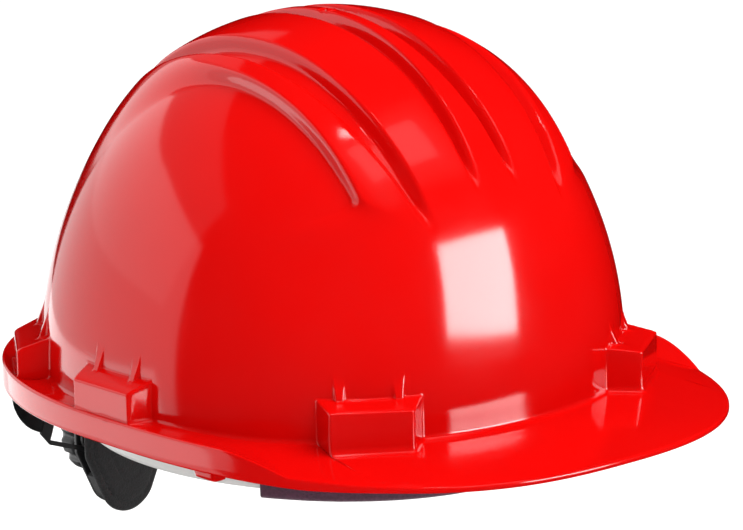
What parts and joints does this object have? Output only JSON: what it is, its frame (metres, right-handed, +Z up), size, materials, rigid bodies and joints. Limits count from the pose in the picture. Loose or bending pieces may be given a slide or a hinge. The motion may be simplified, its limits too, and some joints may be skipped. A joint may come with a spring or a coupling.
{
  "type": "hard hat",
  "caption": "Ribbed safety helmet with a front peak, a webbing suspension on plug-in keys, a padded brow band and a wheel-tightened nape strap.",
  "frame": {"origin": "centre of the crown's foot in plan, on the plane of the rim's lower edge", "axes": "+Z up, front peak towards -Y, wearer's right towards -X"},
  "size_m": [0.223, 0.313, 0.2205],
  "materials": {
    "shell": "glossy moulded polyethylene",
    "key": "satin",
    "webbing": "woven",
    "headband": "satin",
    "brow_pad": "padded sweatband",
    "black_plastic": "fine texture",
    "nape_pad": "soft foam skin",
    "pinion": "natural acetal",
    "steel": "zinc plated"
  },
  "bodies": {
    "hat": {"shell": "shell", "key_front_right": "key", "key_front_left": "key", "key_side_right": "key", "key_side_left": "key", "key_rear_right": "key", "key_rear_left": "key", "strap_right_front": "webbing", "strap_left_front": "webbing", "strap_sides": "webbing", "headband": "headband", "brow_pad": "brow_pad"},
    "nape_arms": {"arm_end_right": "black_plastic", "arm_end_left": "black_plastic", "peg_right": "black_plastic", "peg_left": "black_plastic", "arm_right": "black_plastic", "arm_left": "black_plastic"},
    "right_rack": {"rack_right": "black_plastic"},
    "left_rack": {"rack_left": "black_plastic"},
    "ratchet": {"housing_base": "black_plastic", "housing_cover": "black_plastic", "housing_screws": "steel", "nape_pad": "nape_pad", "detent_spring": "steel"},
    "wheel": {"pinion": "pinion", "knob": "black_plastic", "knob_screw": "steel"}
  },
  "joints": [
    {"name": "nape_tilt", "type": "hinge", "parent": "hat", "child": "nape_arms", "pos_m": [0, 0.008, -0.0055], "axis": [1, 0, 0], "range_deg": [-12, 0]},
    {"name": "right_rack_travel", "type": "slide", "parent": "nape_arms", "child": "right_rack", "axis": [0.6645, -0.7071, -0.2418], "range_m": [-0.0057, 0.0343], "deforming": ["arm_right"]},
    {"name": "left_rack_travel", "type": "slide", "parent": "nape_arms", "child": "left_rack", "axis": [-0.6645, -0.7071, -0.2418], "range_m": [-0.0057, 0.0343], "deforming": ["arm_left"]},
    {"name": "ratchet_travel", "type": "slide", "parent": "nape_arms", "child": "ratchet", "axis": [0, -1, 0], "range_m": [-0.004, 0.0243]},
    {"name": "knob_turn", "type": "hinge", "parent": "ratchet", "child": "wheel", "pos_m": [0, 0.135, -0.047], "axis": [0, 1, 0], "range_deg": [-34, 212]}
  ],
  "couplings": [
    {"joint": "ratchet_travel", "follows": "knob_turn", "m_per_rad": 0.0065},
    {"joint": "right_rack_travel", "follows": "knob_turn", "m_per_rad": 0.0091924},
    {"joint": "left_rack_travel", "follows": "knob_turn", "m_per_rad": 0.0091924}
  ]
}
